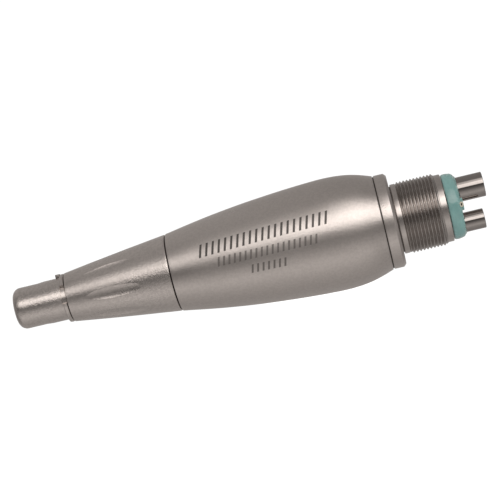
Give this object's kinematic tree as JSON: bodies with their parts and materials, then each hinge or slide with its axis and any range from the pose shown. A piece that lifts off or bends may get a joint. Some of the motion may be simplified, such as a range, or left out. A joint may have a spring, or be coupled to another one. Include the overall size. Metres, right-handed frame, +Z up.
{
  "type": "low-speed air handpiece for a prophy angle",
  "caption": "Slim satin-metal low-speed air handpiece that takes a prophy angle on its nose tube and an air hose on its threaded swivel coupling.",
  "frame": {"origin": "centre of the rear face of the hose gasket, on the handpiece's axis", "axes": "+X along the handpiece's axis from the nose to the hose, +Z up on the side of the exhaust tube and the index key"},
  "size_m": [0.0798, 0.0186, 0.0186],
  "materials": {
    "satin_steel": "bead-blasted satin stainless steel, slightly warm grey",
    "bright_steel": "polished or ground steel",
    "hardened_steel": "fine-ground hardened steel",
    "gasket_rubber": "moulded silicone rubber, grey-teal",
    "black_rubber": "black rubber",
    "vane_resin": "cotton-reinforced resin"
  },
  "bodies": {
    "coupling": {"coupling_body": "satin_steel", "hose_gasket": "gasket_rubber", "exhaust_tube": "bright_steel", "drive_air_tube": "bright_steel", "coupling_snap_ring": "hardened_steel", "swivel_seal_front": "black_rubber", "swivel_seal_rear": "black_rubber"},
    "handle": {"barrel_shell": "satin_steel", "rear_ring": "satin_steel", "nose_cone": "satin_steel", "nose_sleeve": "satin_steel", "index_key": "satin_steel", "nose_seal": "black_rubber", "cylinder_liner": "hardened_steel", "front_end_plate": "satin_steel", "rear_end_plate": "satin_steel", "locating_pin": "hardened_steel", "air_manifold": "satin_steel", "preload_wave_washer": "hardened_steel", "ring_gear": "hardened_steel", "bearing_retainer": "satin_steel", "rotor_bearing_front_outer_race": "bright_steel", "rotor_bearing_rear_outer_race": "bright_steel", "output_bearing_front_outer_race": "bright_steel", "output_bearing_rear_outer_race": "bright_steel"},
    "rotor": {"rotor_core": "hardened_steel", "vane_1": "vane_resin", "vane_2": "vane_resin", "vane_3": "vane_resin", "vane_4": "vane_resin", "sun_pinion": "bright_steel", "rotor_bearing_front_inner_race": "bright_steel", "rotor_bearing_rear_inner_race": "bright_steel"},
    "output": {"planet_carrier": "hardened_steel", "planet_pin_1": "bright_steel", "planet_pin_2": "bright_steel", "planet_pin_3": "bright_steel", "output_spindle": "hardened_steel", "collet": "bright_steel", "bearing_spacer": "hardened_steel", "output_bearing_front_inner_race": "bright_steel", "output_bearing_rear_inner_race": "bright_steel"},
    "planet_1": {"planet_gear_1": "bright_steel"},
    "planet_2": {"planet_gear_2": "bright_steel"},
    "planet_3": {"planet_gear_3": "bright_steel"},
    "rotor_front_balls": {"rotor_bearing_front_balls": "bright_steel"},
    "rotor_rear_balls": {"rotor_bearing_rear_balls": "bright_steel"},
    "output_front_balls": {"output_bearing_front_balls": "bright_steel"},
    "output_rear_balls": {"output_bearing_rear_balls": "bright_steel"}
  },
  "joints": [
    {"name": "swivel", "type": "hinge", "parent": "coupling", "child": "handle", "pos_m": [-0.0133, 0, 0], "axis": [1, 0, 0], "continuous": true},
    {"name": "rotor_spin", "type": "hinge", "parent": "handle", "child": "rotor", "pos_m": [-0.0303, 0, 0], "axis": [1, 0, 0], "continuous": true},
    {"name": "output_spin", "type": "hinge", "parent": "handle", "child": "output", "pos_m": [-0.055, 0, 0], "axis": [1, 0, 0], "continuous": true},
    {"name": "planet_1_spin", "type": "hinge", "parent": "output", "child": "planet_1", "pos_m": [-0.0433, 0, -0.0036], "axis": [1, 0, 0], "continuous": true},
    {"name": "planet_2_spin", "type": "hinge", "parent": "output", "child": "planet_2", "pos_m": [-0.0433, 0.00312, 0.0018], "axis": [1, 0, 0], "continuous": true},
    {"name": "planet_3_spin", "type": "hinge", "parent": "output", "child": "planet_3", "pos_m": [-0.0433, -0.00312, 0.0018], "axis": [1, 0, 0], "continuous": true},
    {"name": "rotor_front_balls_spin", "type": "hinge", "parent": "handle", "child": "rotor_front_balls", "pos_m": [-0.03915, 0, 0], "axis": [1, 0, 0], "continuous": true},
    {"name": "rotor_rear_balls_spin", "type": "hinge", "parent": "handle", "child": "rotor_rear_balls", "pos_m": [-0.02095, 0, 0], "axis": [1, 0, 0], "continuous": true},
    {"name": "output_front_balls_spin", "type": "hinge", "parent": "handle", "child": "output_front_balls", "pos_m": [-0.05965, 0, 0], "axis": [1, 0, 0], "continuous": true},
    {"name": "output_rear_balls_spin", "type": "hinge", "parent": "handle", "child": "output_rear_balls", "pos_m": [-0.05015, 0, 0], "axis": [1, 0, 0], "continuous": true}
  ],
  "couplings": [
    {"joint": "output_spin", "follows": "rotor_spin", "ratio": 0.25},
    {"joint": "planet_1_spin", "follows": "rotor_spin", "ratio": -0.75},
    {"joint": "planet_2_spin", "follows": "rotor_spin", "ratio": -0.75},
    {"joint": "planet_3_spin", "follows": "rotor_spin", "ratio": -0.75},
    {"joint": "rotor_front_balls_spin", "follows": "rotor_spin", "ratio": 0.40909},
    {"joint": "rotor_rear_balls_spin", "follows": "rotor_spin", "ratio": 0.40909},
    {"joint": "output_front_balls_spin", "follows": "rotor_spin", "ratio": 0.10389},
    {"joint": "output_rear_balls_spin", "follows": "rotor_spin", "ratio": 0.10227}
  ]
}
